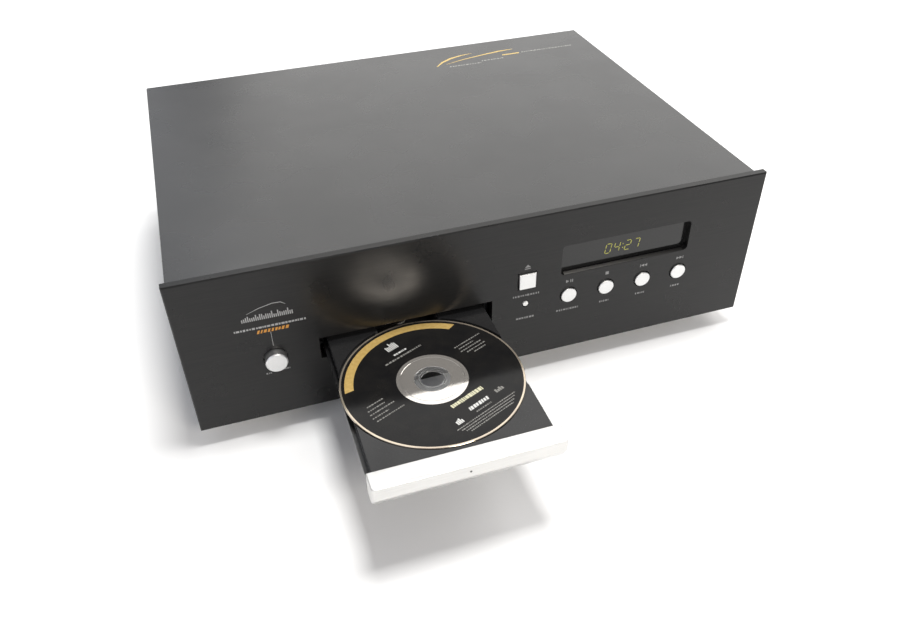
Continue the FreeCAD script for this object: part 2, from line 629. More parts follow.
def case_screws():
    """The identical screws that hold the cover, the front panel and the rear panel."""
    half = d.cover_width / 2
    inner_face = d.panel_thick + d.sheet_thick
    screws = [screw((-half, y, d.side_screw_z), "x") for y in side_screw_spots()]
    screws += [screw((half, y, d.side_screw_z), "x", -1) for y in side_screw_spots()]
    screws += [screw((x, inner_face, d.end_screw_z), "y", -1) for x in end_screw_spots()]
    screws += [screw((x, d.case_depth, d.end_screw_z), "y", -1) for x in rear_screw_spots()]
    return settle("case_screws", group(*screws))


# ---- controls ----

def control_bracket():
    y = (d.bracket_y, d.bracket_y + d.bracket_thick)
    inner_face = d.panel_thick + d.sheet_thick
    plate = block(centred(size(0), d.bracket_width), y, (d.bracket_bottom, d.bracket_top))
    foot_strip = block(centred(size(0), d.bracket_width), (inner_face, y[0]),
                       (d.end_screw_z + d.screw_head + d.strip_clearance, pan_top + d.flange_height))
    wings = []
    half = d.switch_width / 2
    for side in (-1, 1):
        near = d.power_x + side * half
        far = near + side * d.switch_wing
        x = (far, near) if side < 0 else (near, far)
        wings.append(block(x, (y[1], d.switch_rear), centred(d.row_z, d.switch_height)))
    studs = []
    for x in (d.board_left + d.stud_inset, d.board_right - d.stud_inset):
        for z in (d.board_low + d.stud_inset / 2, d.board_high - d.stud_inset):
            studs.append(rod(d.stud_radius, (x, y[1], z), d.board_y - y[1], "y"))
    deep = (0, d.board_y)
    margin = 2 * d.bracket_margin
    cuts = [
        block(centred(d.slot_x, d.slot_width + margin), deep,
              (d.slot_bottom - d.bracket_margin, d.slot_top + d.bracket_margin)),
        block(centred(d.window_x, d.window_width + margin), deep,
              centred(d.window_z, d.window_height + margin)),
        rod(d.power_stem + d.head_clearance, (d.power_x, 0, d.row_z), d.board_y, "y"),
        rod(d.stem_hole, (d.remote_x, 0, d.row_z), d.board_y, "y"),
        rod(d.stem_hole, (d.open_x, 0, d.open_z), d.board_y, "y"),
    ]
    cuts += [rod(d.stem_hole, (x, 0, d.row_z), d.board_y, "y") for x in button_spots()]
    cuts += [rod(d.screw_head + d.head_clearance, (x, 0, d.end_screw_z), d.board_y, "y")
             for x in end_screw_spots()]
    return settle("control_bracket", cut(fuse(plate, foot_strip, *wings, *studs), *cuts))


def push_button(name, x, z, radius, out, stem_radius, stem_end, bevel):
    """A round button, drawn along its own axis with Z towards the user."""
    flange_front = -(d.panel_thick + d.flange_gap)
    flange_back = flange_front - d.flange_thick
    flange_radius = radius + d.flange_edge
    profile = [(0, out), (radius - bevel, out), (radius, out - bevel), (radius, flange_front),
               (flange_radius, flange_front), (flange_radius, flange_back),
               (stem_radius, flange_back), (stem_radius, -stem_end), (0, -stem_end)]
    return settle(name, turned(name, profile), x, 0, z, FACING_FRONT)


def transport_buttons():
    names = ("play_pause_button", "stop_button", "previous_button", "next_button")
    for name, x in zip(names, button_spots()):
        push_button(name, x, d.row_z, d.button_radius, d.button_out, d.stem_radius, d.stem_end,
                    d.button_bevel)


def power_button():
    return push_button("power_button", d.power_x, d.row_z, d.power_radius, d.power_out,
                       d.power_stem, d.power_stem_end, d.power_bevel)


def open_close_button():
    body = new_body("open_close_button")
    face = new_sketch(body, "XZ_Plane", d.button_out)
    rectangle(face, centred(size(0), d.open_size), centred(size(0), d.open_size))
    flange_y = d.panel_thick + d.flange_gap
    barrel = pad(body, face, d.button_out + flange_y, backwards=True)
    rim = edges_where(barrel, lambda edge, p: on(p.y, -d.button_out.value))
    dress(body, "Chamfer", barrel, rim, d.button_bevel)
    flange = new_sketch(body, "XZ_Plane", -flange_y)
    wide = d.open_size + 2 * d.flange_edge
    rectangle(flange, centred(size(0), wide), centred(size(0), wide))
    pad(body, flange, d.flange_thick, backwards=True)
    stem = new_sketch(body, "XZ_Plane", -(flange_y + d.flange_thick))
    circle(stem, 0, 0, d.stem_radius)
    pad(body, stem, d.stem_end - flange_y - d.flange_thick, backwards=True)
    return settle("open_close_button", body, d.open_x, 0, d.open_z)


def button_switches():
    switches = []
    for x, z in [(x, d.row_z) for x in button_spots()] + [(d.open_x, d.open_z)]:
        case = block(centred(x, d.tact_size), (d.tact_y, d.board_y), centred(z, d.tact_size))
        nub = rod(d.tact_nub, (x, d.tact_nub_y, z), d.tact_y - d.tact_nub_y, "y")
        switches.append(fuse(case, nub))
    return settle("button_switches", group(*switches))


def control_board():
    rear = d.board_y + d.board_thick
    board = block((d.board_left, d.board_right), (d.board_y, rear), (d.board_low, d.board_high))
    holes = []
    for x in (d.board_left + d.stud_inset, d.board_right - d.stud_inset):
        for z in (d.board_low + d.stud_inset / 2, d.board_high - d.stud_inset):
            holes.append(rod(d.screw_radius, (x, d.board_y, z), d.board_thick, "y"))
    return settle("control_board", cut(board, *holes))


def display_window():
    wide = d.window_width + 2 * (d.rebate_edge - d.lens_gap)
    high = d.window_height + 2 * (d.rebate_edge - d.lens_gap)
    body = new_body("display_window")
    sketch = new_sketch(body, "XZ_Plane", -(d.panel_thick - d.rebate_depth))
    rectangle(sketch, centred(d.window_x, wide), centred(d.window_z, high))
    pad(body, sketch, d.lens_thick, backwards=True)
    return settle("display_window", body)


def display_module():
    margin = 2 * d.display_edge
    glass_rear = d.display_y + d.display_glass
    frame = block(centred(d.window_x, d.window_width + margin), (glass_rear, d.board_y),
                  centred(d.window_z, d.window_height + margin))
    tube = block(centred(d.window_x, d.tube_width), (d.display_y, glass_rear),
                 centred(d.window_z, d.tube_height))
    return settle("display_module", fuse(frame, tube))


def remote_lens():
    flange_front = -d.panel_thick
    flange_back = flange_front - d.flange_thick
    profile = [(0, d.remote_out), (d.remote_radius - d.remote_out, d.remote_out),
               (d.remote_radius, 0), (d.remote_radius, flange_front),
               (d.remote_flange, flange_front), (d.remote_flange, flange_back), (0, flange_back)]
    return settle("remote_lens", turned("remote_lens", profile), d.remote_x, 0, d.row_z, FACING_FRONT)


def remote_sensor():
    case = block(centred(d.remote_x, d.sensor_width), (d.sensor_y, d.board_y),
                 centred(d.row_z, d.sensor_width))
    nose = rod(d.sensor_radius, (d.remote_x, d.sensor_y - d.sensor_nose, d.row_z), d.sensor_nose, "y")
    return settle("remote_sensor", fuse(case, nose))


def power_switch():
    case = block(centred(d.power_x, d.switch_width), (d.switch_front, d.switch_rear),
                 centred(d.row_z, d.switch_height))
    tags = []
    for side_x in (-1, 1):
        for side_z in (-1, 1):
            tag_x = d.power_x + side_x * d.switch_width / 4
            tag_z = d.row_z + side_z * d.switch_height / 4
            tags.append(block(centred(tag_x, d.terminal_thick),
                              (d.switch_rear, d.switch_rear + d.terminal_length),
                              centred(tag_z, d.terminal_width)))
    return settle("power_switch", fuse(case, *tags))


# ---- tray, disc and tray drive ----

def disc_tray():
    body = new_body("disc_tray")
    left, right = centred(size(0), d.tray_width)
    front = d.tray_front_y - d.disc_open_y
    rear = d.tray_rear_y - d.disc_open_y
    outline = new_sketch(body, "XY_Plane", d.tray_bottom)
    rectangle(outline, (left, right), (front, rear))
    plate = pad(body, outline, d.tray_top - d.tray_bottom)
    rim = edges_where(plate, lambda edge, p: on(p.z, d.tray_top.value) and not on(p.x, 0))
    dress(body, "Chamfer", plate, rim, d.tray_edge)
    hollow = new_sketch(body, "XY_Plane", d.tray_bottom)
    rectangle(hollow, (left + d.tray_wall, right - d.tray_wall), (front + d.tray_wall, rear))
    pocket(body, hollow, d.tray_skin - d.tray_bottom, backwards=True)
    for radius, floor in ((d.recess_radius, d.recess_floor), (d.small_recess_radius, d.small_recess_floor)):
        recess = new_sketch(body, "XY_Plane", d.tray_top)
        circle(recess, 0, 0, radius)
        pocket(body, recess, d.tray_top - floor)
    window = new_sketch(body, "XY_Plane", d.tray_top)
    rectangle(window, centred(size(0), d.tray_window_width), (0, d.tray_window_rear))
    pocket(body, window, d.tray_top - d.tray_bottom)
    hub = new_sketch(body, "XY_Plane", d.tray_top)
    circle(hub, 0, 0, d.tray_window_width / 2)
    pocket(body, hub, d.tray_top - d.tray_bottom)
    rails = new_sketch(body, "XY_Plane", d.tray_bottom)
    overhang = (d.rail_width - d.tray_width) / 2
    rectangle(rails, (left - overhang, left), (front, rear))
    rectangle(rails, (right, right + overhang), (front, rear))
    pad(body, rails, d.rail_top - d.tray_bottom)
    rack(body, d.tooth_module, (d.rack_left - d.tray_x, d.pitch_line_x - d.tray_x), 1,
         (d.rack_front_y - d.disc_open_y, rear - d.tray_wall), d.gear_y - d.disc_open_y,
         (d.rack_bottom, d.tray_skin))
    return settle("disc_tray", body, d.tray_x, d.disc_open_y)


def rack(body, module, x, outward, y, mesh_y, z):
    """A toothed bar along Y, with a gap between teeth at mesh_y where a gear's tooth stands."""
    bar_side, pitch_line = x
    root, tip = tooth_outline(module, outward)
    root_x = pitch_line + root[0]
    bar = new_sketch(body, "XY_Plane", z[0])
    rectangle(bar, (bar_side, root_x) if outward > 0 else (root_x, bar_side), y)
    pad(body, bar, z[1] - z[0])
    pitch = math.pi * module.value
    first = math.ceil((y[0].value - mesh_y.value) / pitch + END_GAP)
    last = math.floor((y[1].value - mesh_y.value) / pitch - 1 - END_GAP)
    teeth = new_sketch(body, "XY_Plane", z[0])
    tip_x = pitch_line + tip[0]
    inside_x = root_x - outward * TOOTH_SINK
    start = mesh_y + (first + 1 / 2) * pitch
    polygon(teeth, [(inside_x, start - root[1]), (root_x, start - root[1]), (tip_x, start - tip[1]),
                    (tip_x, start + tip[1]), (root_x, start + root[1]), (inside_x, start + root[1])])
    thickness = d.gear_top - d.gear_bottom
    tooth = pad(body, teeth, thickness)
    pattern = body.newObject("PartDesign::LinearPattern", "rack_teeth")
    pattern.Originals = [tooth]
    pattern.Direction = (teeth, ["V_Axis"])
    pattern.Occurrences = last - first + 1
    pattern.Length = pitch * (last - first)
    body.Tip = pattern
    doc.recompute()
    return pattern


def tray_front():
    """The metal bar on the tray's front end, bevelled below and rounded at its front corners."""
    body = new_body("tray_front")
    sketch = new_sketch(body, "YZ_Plane")
    bevel_y = d.bar_front_y + d.bar_bevel_depth
    polygon(sketch, [(d.tray_front_y, d.bar_bottom), (bevel_y, d.bar_bottom),
                     (d.bar_front_y, d.bar_bottom + d.bar_bevel_height),
                     (d.bar_front_y, d.bar_top), (d.tray_front_y, d.bar_top)])
    bar = pad(body, sketch, d.bar_width, both_ways=True)
    half = d.bar_width.value / 2
    corners = edges_where(bar, lambda edge, p: on(p.x, -half, half)
                          and p.y < bevel_y.value and not on(p.z, d.bar_top.value))
    rounded = dress(body, "Fillet", bar, corners, d.bar_corner)
    top_edges = edges_where(rounded, lambda edge, p: on(p.z, d.bar_top.value)
                            and not on(p.y, d.tray_front_y.value))
    dress(body, "Fillet", rounded, top_edges, d.bar_edge)
    return settle("tray_front", body, d.tray_x)


def disc():
    inner = d.disc_hole
    top = d.disc_thick
    edge = d.disc_edge
    profile = [(inner, 0), (d.disc_radius - edge, 0), (d.disc_radius, edge),
               (d.disc_radius, top - edge), (d.disc_radius - edge, top), (inner, top)]
    return settle("disc", turned("disc", profile), d.tray_x, d.disc_open_y, d.disc_bottom)


def tray_gear():
    """Gear for the tray's rack with a belt pulley moulded below it."""
    gear_x = d.pitch_line_x + d.tooth_module * TEETH / 2
    middle = (d.belt_low + d.belt_high) / 2
    half_groove = (d.belt_high - d.belt_low) / 2 + d.groove_edge
    groove = d.pulley_radius - d.groove_depth
    hub = d.tooth_module * TEETH / 2 - d.tooth_module * ROOT_DEPTH
    profile = [(d.gear_bore, d.pulley_bottom), (d.pulley_radius, d.pulley_bottom),
               (d.pulley_radius, middle - half_groove), (groove, middle - half_groove),
               (groove, middle + half_groove), (d.pulley_radius, middle + half_groove),
               (d.pulley_radius, d.pulley_top), (hub, d.pulley_top), (hub, d.gear_top),
               (d.gear_bore, d.gear_top)]
    body = turned("tray_gear", profile)
    flat = new_sketch(body, "XY_Plane", d.gear_bottom)
    circle(flat, 0, 0, d.gear_bore)
    gear_teeth(body, flat, d.tooth_module, TEETH, d.gear_bottom, d.gear_top - d.gear_bottom)
    half_step = Rotation(Vector(0, 0, 1), 180)
    return settle("tray_gear", body, gear_x, d.gear_y, 0, half_step)


def motor_pulley():
    middle = (d.belt_low + d.belt_high) / 2
    half_groove = (d.belt_high - d.belt_low) / 2 + d.groove_edge
    groove = d.small_pulley_radius - d.groove_depth
    profile = [(d.shaft_bore, d.pulley_bottom), (d.small_pulley_radius, d.pulley_bottom),
               (d.small_pulley_radius, middle - half_groove), (groove, middle - half_groove),
               (groove, middle + half_groove), (d.small_pulley_radius, middle + half_groove),
               (d.small_pulley_radius, d.pulley_top), (d.shaft_bore, d.pulley_top)]
    return settle("motor_pulley", turned("motor_pulley", profile), d.motor_x, d.gear_y)


def loading_motor():
    boss = d.deck_shaft_hole - d.motor_boss_gap
    profile = [(0, d.motor_bottom), (d.motor_radius - d.motor_bevel, d.motor_bottom),
               (d.motor_radius, d.motor_bottom + d.motor_bevel), (d.motor_radius, d.deck_bottom),
               (boss, d.deck_bottom), (boss, d.deck_top), (d.shaft_radius, d.deck_top),
               (d.shaft_radius, d.pulley_top), (0, d.pulley_top)]
    return settle("loading_motor", turned("loading_motor", profile), d.motor_x, d.gear_y)


def belt_loop(x0, radius0, x1, radius1):
    """A closed wire round two circles on one line along X: two arcs and their outer tangents."""
    lean = math.asin((radius0 - radius1) / (x1 - x0))
    upper = Vector(math.sin(lean), math.cos(lean), 0)
    lower = Vector(math.sin(lean), -math.cos(lean), 0)
    big, small = Vector(x0, 0, 0), Vector(x1, 0, 0)
    left, right = Vector(x0 - radius0, 0, 0), Vector(x1 + radius1, 0, 0)
    edges = [
        Part.Arc(big + upper * radius0, left, big + lower * radius0).toShape(),
        Part.LineSegment(big + lower * radius0, small + lower * radius1).toShape(),
        Part.Arc(small + lower * radius1, right, small + upper * radius1).toShape(),
        Part.LineSegment(small + upper * radius1, big + upper * radius0).toShape(),
    ]
    return Part.Wire(edges)


def drive_belt():
    gear_x = (d.pitch_line_x + d.tooth_module * TEETH / 2).value
    inner = d.belt_gap.value - d.groove_depth.value
    outer = inner + d.belt_thick.value
    wires = []
    for extra in (outer, inner):
        wires.append(belt_loop(gear_x, d.pulley_radius.value + extra,
                               d.motor_x.value, d.small_pulley_radius.value + extra))
    ring = Part.Face(wires[0]).cut(Part.Face(wires[1]))
    belt = doc.addObject("Part::Feature", "drive_belt_shape")
    belt.Shape = ring.extrude(Vector(0, 0, d.belt_high.value - d.belt_low.value))
    return settle("drive_belt", belt, 0, d.gear_y, d.belt_low)


def loader_frame():
    x = (d.frame_left, d.frame_right)
    y = (d.frame_front, d.frame_rear)
    floor_top = d.frame_bottom + d.frame_floor
    parts = [block(x, y, (d.frame_bottom, floor_top)),
             block(x, (d.frame_rear - d.frame_wall, d.frame_rear), (d.frame_bottom, d.frame_back_top)),
             block(x, (d.frame_front, d.deck_rear), (d.deck_bottom, d.deck_top))]
    lower_lip = (d.tray_bottom - d.rail_gap - d.lip_thick, d.tray_bottom - d.rail_gap)
    upper_lip = (d.rail_top + d.rail_gap, d.rail_top + d.rail_gap + d.lip_thick)
    for wall, lip in (
        ((d.frame_left, d.frame_left + d.frame_wall), (d.frame_left, tray_left - d.rail_gap)),
        ((d.frame_right - d.frame_wall, d.frame_right), (tray_right + d.rail_gap, d.frame_right)),
    ):
        parts.append(block(wall, y, (d.frame_bottom, d.frame_top)))
        parts.append(block(lip, y, lower_lip))
        parts.append(block(lip, y, upper_lip))
    post_y = centred(d.pivot_y, d.post_depth)
    left_post = d.base_left - d.base_gap
    right_post = d.base_right + d.base_gap
    parts.append(block((left_post - d.post_thick, left_post), post_y, (floor_top, d.post_top)))
    parts.append(block((right_post, right_post + d.post_thick), post_y, (floor_top, d.post_top)))
    guide_z = (floor_top, floor_top + d.guide_height)
    cam_rear = d.cam_front + d.cam_thick
    for near, far in ((d.cam_front - d.rail_gap - d.guide_thick, d.cam_front - d.rail_gap),
                      (cam_rear + d.rail_gap, cam_rear + d.rail_gap + d.guide_thick)):
        last_start = d.cam_right - d.cam_stroke - d.guide_inset - d.guide_length
        for start in (d.cam_left + d.guide_inset, last_start):
            parts.append(block((start, start + d.guide_length), (near, far), guide_z))
    gear_x = d.pitch_line_x + d.tooth_module * TEETH / 2
    parts.append(rod(d.axle_radius, (gear_x, d.gear_y, d.deck_bottom), d.gear_top - d.deck_bottom))
    for ear_x in (d.frame_left - d.ear_size, d.frame_right):
        for ear_y in (d.ear_front, d.ear_rear):
            parts.append(block((ear_x, ear_x + d.ear_size), (ear_y, ear_y + d.ear_size),
                               (d.frame_bottom, floor_top)))
    cuts = [
        block((d.floor_hole_left, d.floor_hole_right), (d.floor_hole_front, d.floor_hole_rear),
              (0, floor_top)),
        rod(d.deck_shaft_hole, (d.motor_x, d.gear_y, d.deck_bottom), d.frame_floor),
        rod(d.pivot_bore, (d.frame_left + d.frame_wall, d.pivot_y, d.pivot_z),
            d.frame_right - d.frame_left - 2 * d.frame_wall, "x"),
    ]
    cuts += [rod(d.screw_radius, (gx, gy, d.frame_bottom), d.frame_floor) for gx, gy in grommet_spots()]
    return settle("loader_frame", cut(fuse(*parts), *cuts))


def grommet_spots():
    half = d.ear_size / 2
    across = (d.frame_left - half, d.frame_right + half)
    along = (d.ear_front + half, d.ear_rear + half)
    return [(x, y) for x in across for y in along]


def loader_grommets():
    height = d.frame_bottom - pan_top
    waist = [(d.grommet_radius * wide, height * up) for wide, up in GROMMET_WAIST]
    profile = [(d.grommet_bore, 0), (d.grommet_radius, 0), *waist, (d.grommet_radius, height),
               (d.grommet_bore, height)]
    rings = []
    for x, y in grommet_spots():
        ring = turned("grommet", profile)
        rings.append(place(ring, x, y, pan_top))
    return settle("loader_grommets", group(*rings))


def clamp_bridge():
    x = (d.frame_left, d.frame_right)
    top = d.frame_top + d.bridge_thick
    strip = block(x, (d.bridge_front, d.bridge_rear), (d.frame_top, top))
    ribs = [block(x, (y, y + d.bridge_thick), (d.frame_top, top + d.bridge_rib))
            for y in (d.bridge_front, d.bridge_rear - d.bridge_thick)]
    hole = rod(d.bridge_hole, (d.tray_x, play_y, d.frame_top), d.bridge_thick)
    return settle("clamp_bridge", cut(fuse(strip, *ribs), hole))


def clamp_puck():
    profile = [(0, d.puck_bottom), (d.puck_radius, d.puck_bottom), (d.puck_radius, d.puck_rim),
               (d.puck_neck, d.puck_rim), (d.puck_neck, d.puck_neck_top),
               (d.puck_flange, d.puck_neck_top), (d.puck_flange, d.puck_top),
               (d.puck_dish, d.puck_top), (d.puck_dish, d.puck_neck_top), (0, d.puck_neck_top)]
    return settle("clamp_puck", turned("clamp_puck", profile), d.tray_x, play_y)


# ---- laser unit ----

def base_unit():
    z = (d.base_bottom, d.base_top)
    plate = block((d.base_left, d.base_right), (d.base_front, d.base_rear), z)
    tab = block((d.tab_left, d.base_left), (d.tab_front, d.tab_rear), z)
    left_pin = rod(d.pivot_radius, (d.base_left - d.pivot_length, d.pivot_y, d.pivot_z),
                   d.pivot_length, "x")
    right_pin = rod(d.pivot_radius, (d.base_right, d.pivot_y, d.pivot_z), d.pivot_length, "x")
    cam_pin = rod(d.cam_pin_radius, (d.tray_x, d.base_front - d.cam_pin_length, cam_pin_z()),
                  d.cam_pin_length, "y")
    holders = []
    for x in (d.rod_left, d.rod_right):
        for y in (d.rod_front, d.rod_rear - d.holder_depth):
            holders.append(block(centred(x, d.holder_width), (y, y + d.holder_depth),
                                 (d.base_top, d.holder_top)))
    cuts = [
        block((d.sled_hole_left, d.sled_hole_right), (d.sled_hole_front, d.sled_hole_rear), z),
        rod(d.spindle_hole, (d.tray_x, play_y, d.base_bottom), d.base_top - d.base_bottom),
        rod(d.sled_shaft_hole, (d.sled_gear_x, d.sled_gear_y, d.base_bottom),
            d.base_top - d.base_bottom),
    ]
    cuts += [rod(d.rod_radius, (x, d.rod_front, d.rod_z), d.rod_rear - d.rod_front, "y")
             for x in (d.rod_left, d.rod_right)]
    solid = cut(fuse(plate, tab, left_pin, right_pin, cam_pin, *holders), *cuts)
    return lowered(settle("base_unit", solid))


def cam_pin_z():
    return (d.base_bottom + d.base_top) / 2


def guide_rods():
    rods = [rod(d.rod_radius, (x, d.rod_front, d.rod_z), d.rod_rear - d.rod_front, "y")
            for x in (d.rod_left, d.rod_right)]
    return lowered(settle("guide_rods", group(*rods)))


def spindle_motor():
    profile = [(0, d.spindle_can_bottom), (d.spindle_can_radius, d.spindle_can_bottom),
               (d.spindle_can_radius, d.base_bottom), (d.spindle_boss, d.base_bottom),
               (d.spindle_boss, d.spindle_boss_top), (d.shaft_radius, d.spindle_boss_top),
               (d.shaft_radius, d.spindle_top), (0, d.spindle_top)]
    return lowered(settle("spindle_motor", turned("spindle_motor", profile), d.tray_x, play_y))


def turntable():
    """Platter with the cone that centres the disc; its bore runs on the motor's shaft."""
    under = d.platter_top - d.platter_thick
    profile = [(d.shaft_bore, d.hub_bottom), (d.hub_radius, d.hub_bottom), (d.hub_radius, under),
               (d.platter_radius, under), (d.platter_radius, d.platter_top),
               (d.cone_base, d.platter_top), (d.cone_tip, d.cone_top), (0, d.cone_top),
               (0, d.spindle_cap), (d.shaft_bore, d.spindle_cap)]
    return lowered(settle("turntable", turned("turntable", profile), d.tray_x, play_y))


def laser_sled():
    sled_y = (d.sled_front, d.sled_rear)
    body = new_body("laser_sled")
    plate = new_sketch(body, "XY_Plane", d.sled_bottom)
    rectangle(plate, (d.sled_left, d.sled_right), sled_y)
    pad(body, plate, d.sled_top - d.sled_bottom)
    middle_y = (d.sled_front + d.sled_rear) / 2
    head = new_sketch(body, "XY_Plane", d.sled_top)
    rectangle(head, centred(d.tray_x, d.head_size), centred(middle_y, d.head_size))
    pad(body, head, d.head_top - d.sled_top)
    seat = new_sketch(body, "XY_Plane", d.head_top)
    circle(seat, d.tray_x, middle_y, d.lens_radius + d.lens_play)
    pocket(body, seat, d.head_top - d.lens_seat)
    bores = new_sketch(body, "XZ_Plane", -d.sled_rear)
    circle(bores, d.rod_left, d.rod_z, d.rod_bore)
    circle(bores, d.rod_right, d.rod_z, d.rod_slack_bore)
    pocket(body, bores, d.sled_rear - d.sled_front, backwards=True)
    pitch_line = d.sled_gear_x + d.sled_tooth_module * SLED_TEETH / 2
    rack(body, d.sled_tooth_module, (d.sled_left, pitch_line), -1,
         (d.sled_rack_front, d.sled_rack_rear), d.sled_gear_y, (d.sled_gear_bottom, d.sled_gear_top))
    return lowered(settle("laser_sled", body))


def objective_lens():
    middle_y = (d.sled_front + d.sled_rear) / 2
    height = d.lens_top - d.lens_seat - d.lens_lift
    crown = [(d.lens_radius * wide, height * up) for wide, up in LENS_CROWN]
    profile = [(0, 0), (d.lens_radius, 0), *crown, (0, height)]
    return lowered(settle("objective_lens", turned("objective_lens", profile), d.tray_x, middle_y,
                          d.lens_seat + d.lens_lift))


def sled_motor():
    profile = [(0, d.sled_motor_bottom), (d.sled_motor_radius, d.sled_motor_bottom),
               (d.sled_motor_radius, d.base_bottom), (d.sled_shaft, d.base_bottom),
               (d.sled_shaft, d.sled_gear_top), (0, d.sled_gear_top)]
    return lowered(settle("sled_motor", turned("sled_motor", profile), d.sled_gear_x, d.sled_gear_y))


def sled_gear():
    body = new_body("sled_gear")
    hub = new_sketch(body, "XY_Plane", d.sled_gear_bottom)
    circle(hub, 0, 0, d.sled_tooth_module * SLED_TEETH / 2 - d.sled_tooth_module * ROOT_DEPTH)
    circle(hub, 0, 0, d.sled_shaft_bore)
    thickness = d.sled_gear_top - d.sled_gear_bottom
    pad(body, hub, thickness)
    gear_teeth(body, hub, d.sled_tooth_module, SLED_TEETH, d.sled_gear_bottom, thickness)
    return lowered(settle("sled_gear", body, d.sled_gear_x, d.sled_gear_y))


def lift_cam():
    """A sliding plate whose slanted slot carries the laser unit's front pin up to level."""
    arm = d.pivot_y.value - (d.cam_front + d.cam_thick / 2).value
    drop = arm * math.sin(math.radians(d.base_drop_angle.value))
    high_z = cam_pin_z().value
    low = Vector(d.tray_x.value, high_z - drop, 0)
    high = low + Vector(d.cam_stroke.value, drop, 0)
    along = (high - low).normalize()
    across = Vector(-along.y, along.x, 0)
    reach = d.cam_pin_radius.value + d.cam_clearance.value
    start, end = low - along * reach, high + along * reach
    corners = [start - across * reach, end - across * reach, end + across * reach,
               start + across * reach]
    body = new_body("lift_cam")
    plate = new_sketch(body, "XZ_Plane", -d.cam_front)
    rectangle(plate, (d.cam_left, d.cam_right), (d.cam_bottom, d.cam_top))
    pad(body, plate, d.cam_thick, backwards=True)
    slot = new_sketch(body, "XZ_Plane", -d.cam_front)
    polygon(slot, [(p.x, p.y) for p in corners])
    pocket(body, slot, d.cam_thick)
    return settle("lift_cam", body)


# ---- electronics ----

def board_holes(left, right, front, rear):
    inset = d.hole_inset
    return [(x, y) for x in (left + inset, right - inset) for y in (front + inset, rear - inset)]


def main_board_holes():
    return board_holes(d.main_left, d.main_right, d.main_front, d.main_rear)


def supply_board_holes():
    return board_holes(d.supply_left, d.supply_right, d.supply_front, d.supply_rear)


def printed_board(label, x, y, spots):
    board = block(x, y, (d.pcb_low, pcb_top))
    holes = [rod(d.screw_radius, (hx, hy, d.pcb_low), d.board_thick) for hx, hy in spots]
    return settle(label, cut(board, *holes))


def boards():
    printed_board("main_board", (d.main_left, d.main_right), (d.main_front, d.main_rear),
                  main_board_holes())
    printed_board("supply_board", (d.supply_left, d.supply_right), (d.supply_front, d.supply_rear),
                  supply_board_holes())


def board_standoffs():
    posts = []
    for x, y in main_board_holes() + supply_board_holes():
        post = rod(d.post_radius, (x, y, pan_top), d.pcb_low - pan_top)
        stud = rod(d.screw_radius, (x, y, d.pcb_low), d.board_thick)
        posts.append(fuse(post, stud))
    return settle("board_standoffs", group(*posts))


def transformer():
    """Toroidal mains transformer: a ring with rounded shoulders on a rubber pad."""
    body = turned("transformer", [(d.toroid_bore, d.toroid_low), (d.toroid_radius, d.toroid_low),
                                  (d.toroid_radius, d.toroid_high), (d.toroid_bore, d.toroid_high)])
    ring = body.Tip
    shoulders = edges_where(ring, lambda edge, p: on(math.hypot(p.x, p.y), d.toroid_radius.value)
                            and edge.Curve.TypeId == "Part::GeomCircle")
    dress(body, "Fillet", ring, shoulders, d.toroid_round)
    return settle("transformer", body, d.toroid_x, d.toroid_y)


def transformer_clamp():
    dish_top = d.toroid_high + d.dish_thick
    pad_radius = d.toroid_radius - d.clamp_pad_inset
    profile = [(0, d.pan_bottom), (d.bolt_radius, d.pan_bottom), (d.bolt_radius, pan_top),
               (pad_radius, pan_top), (pad_radius, d.toroid_low),
               (d.bolt_radius, d.toroid_low), (d.bolt_radius, d.toroid_high),
               (d.dish_radius, d.toroid_high), (d.dish_radius, dish_top), (d.bolt_head, dish_top),
               (d.bolt_head, dish_top + d.bolt_head_thick), (0, dish_top + d.bolt_head_thick)]
    return settle("transformer_clamp", turned("transformer_clamp", profile), d.toroid_x, d.toroid_y)


def capacitor(radius, height, x, y):
    """A can capacitor with a rolled groove near its top and a scored end."""
    can = rod(radius, (x, y, pcb_top), height)
    groove_z = pcb_top + height - radius / 2
    groove = cut(rod(radius, (x, y, groove_z), d.cap_score),
                 rod(radius - d.cap_score, (x, y, groove_z), d.cap_score))
    top = pcb_top + height
    score = block(centred(x, radius), centred(y, d.cap_score), (top - d.cap_score, top))
    return cut(can, groove, score)


def capacitors():
    cans = []
    for column in range(2):
        for row in range(2):
            cans.append(capacitor(d.big_cap_radius, d.big_cap_height,
                                  d.big_cap_x + d.big_cap_pitch * column,
                                  d.big_cap_y + d.big_cap_pitch * row))
    for number in range(6):
        cans.append(capacitor(d.small_cap_radius, d.small_cap_height,
                              d.small_cap_x + d.small_cap_pitch * number, d.small_cap_y))
    return settle("capacitors", group(*cans))


def heat_sink():
    top = pcb_top + d.sink_height
    x = centred(d.sink_x, d.sink_length)
    base = block(x, (d.sink_y, d.sink_y + d.sink_base), (pcb_top, top))
    step = (d.sink_length - d.fin_thick) / (d.fin_count - 1)
    fins = []
    for number in range(int(d.fin_count.value)):
        fin_x = x[0] + step * number
        fins.append(block((fin_x, fin_x + d.fin_thick), (d.sink_y, d.sink_y + d.sink_depth),
                          (pcb_top, top)))
    return settle("heat_sink", fuse(base, *fins))


def signal_chips():
    chips = []
    for column in range(3):
        for row in range(2):
            x = d.chip_x + d.chip_pitch_x * column
            y = d.chip_y + d.chip_pitch_y * row
            case = block(centred(x, d.chip_width), centred(y, d.chip_length),
                         (pcb_top, pcb_top + d.chip_height))
            notch_z = pcb_top + d.chip_height - d.chip_notch
            notch = rod(d.screw_radius, (x, y - d.chip_length / 2, notch_z), d.chip_notch)
            chips.append(cut(case, notch))
    return settle("signal_chips", group(*chips))


def valve_spots():
    return [d.valve_x + d.valve_pitch * number for number in range(2)]


